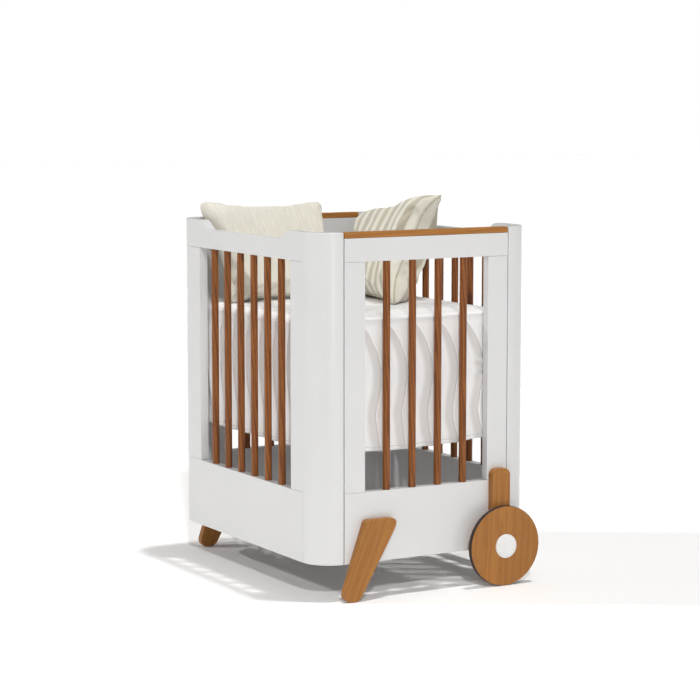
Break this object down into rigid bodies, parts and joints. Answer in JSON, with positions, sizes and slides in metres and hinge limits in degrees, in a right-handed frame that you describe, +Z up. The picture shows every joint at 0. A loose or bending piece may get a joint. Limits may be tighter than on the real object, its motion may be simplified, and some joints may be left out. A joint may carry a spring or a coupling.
{
  "type": "baby crib",
  "caption": "Baby crib with scooped long sides, round wood slats, curved posts, splayed plank legs and wooden wheels at the back, with mattress, skirted drape and pillows.",
  "frame": {"origin": "on the floor, under the middle of the crib", "axes": "+Z up; long sides face -Y and +Y, ends face -X and +X; legs near -Y, wheels near +Y; pillows lean on the -X end"},
  "size_m": [0.9412, 0.6744, 1.046],
  "materials": {
    "white_paint": "satin white paint on board",
    "light_wood": "clear satin lacquer on golden wood",
    "dowel_wood": "satin lacquer on reddish brown wood",
    "tyre_rubber": "matt black rubber band",
    "cap_plastic": "white moulded cap",
    "steel": "zinc-plated steel",
    "mattress_cloth": "quilted white ticking",
    "drape_cloth": "soft white cotton with wavy pale grey-beige stripes",
    "plain_linen": "cream linen with faint brushed strokes",
    "striped_linen": "cream and beige striped linen with a piped edge"
  },
  "bodies": {
    "frame": {"corner_post_foot_front": "white_paint", "corner_post_foot_back": "white_paint", "corner_post_head_front": "white_paint", "corner_post_head_back": "white_paint", "front_top_rail": "white_paint", "front_bottom_panel": "white_paint", "front_dowel_1": "dowel_wood", "front_dowel_2": "dowel_wood", "front_dowel_3": "dowel_wood", "front_dowel_4": "dowel_wood", "front_dowel_5": "dowel_wood", "front_dowel_6": "dowel_wood", "back_top_rail": "white_paint", "back_bottom_panel": "white_paint", "back_dowel_1": "dowel_wood", "back_dowel_2": "dowel_wood", "back_dowel_3": "dowel_wood", "back_dowel_4": "dowel_wood", "back_dowel_5": "dowel_wood", "back_dowel_6": "dowel_wood", "foot_cap_rail": "light_wood", "foot_top_rail": "white_paint", "foot_bottom_panel": "white_paint", "foot_stile_front": "white_paint", "foot_stile_back": "white_paint", "foot_dowel_1": "dowel_wood", "foot_dowel_2": "dowel_wood", "foot_dowel_3": "dowel_wood", "foot_dowel_4": "dowel_wood", "head_cap_rail": "light_wood", "head_top_rail": "white_paint", "head_bottom_panel": "white_paint", "head_stile_front": "white_paint", "head_stile_back": "white_paint", "head_dowel_1": "dowel_wood", "head_dowel_2": "dowel_wood", "head_dowel_3": "dowel_wood", "head_dowel_4": "dowel_wood", "foot_leg": "light_wood", "foot_wheel_strut": "light_wood", "foot_axle": "steel", "head_leg": "light_wood", "head_wheel_strut": "light_wood", "head_axle": "steel"},
    "foot_wheel": {"foot_wheel_disc": "light_wood", "foot_tyre": "tyre_rubber", "foot_hub_cap": "cap_plastic"},
    "head_wheel": {"head_wheel_disc": "light_wood", "head_tyre": "tyre_rubber", "head_hub_cap": "cap_plastic"},
    "base": {"mattress_base": "white_paint", "base_bracket_foot_front": "steel", "base_bracket_foot_back": "steel", "base_bracket_head_front": "steel", "base_bracket_head_back": "steel"},
    "bedding": {"mattress": "mattress_cloth", "bed_drape": "drape_cloth"},
    "pillow_plain": {"plain_pillow": "plain_linen"},
    "pillow_striped": {"striped_pillow": "striped_linen"}
  },
  "joints": [
    {"name": "foot_wheel_spin", "type": "hinge", "parent": "frame", "child": "foot_wheel", "pos_m": [0.45455, 0.225, 0.11], "axis": [1, 0, 0], "continuous": true},
    {"name": "head_wheel_spin", "type": "hinge", "parent": "frame", "child": "head_wheel", "pos_m": [-0.45455, 0.225, 0.11], "axis": [1, 0, 0], "continuous": true},
    {"name": "base_height", "type": "slide", "parent": "frame", "child": "base", "axis": [0, 0, 1], "range_m": [-0.24, 0]},
    {"name": "mattress_lift", "type": "slide", "parent": "base", "child": "bedding", "axis": [0, 0, 1], "range_m": [0, 0.62]},
    {"name": "plain_pillow_lift", "type": "slide", "parent": "bedding", "child": "pillow_plain", "axis": [0, 0, 1], "range_m": [0, 0.3]},
    {"name": "striped_pillow_lift", "type": "slide", "parent": "bedding", "child": "pillow_striped", "axis": [0, 0, 1], "range_m": [0, 0.3]}
  ]
}
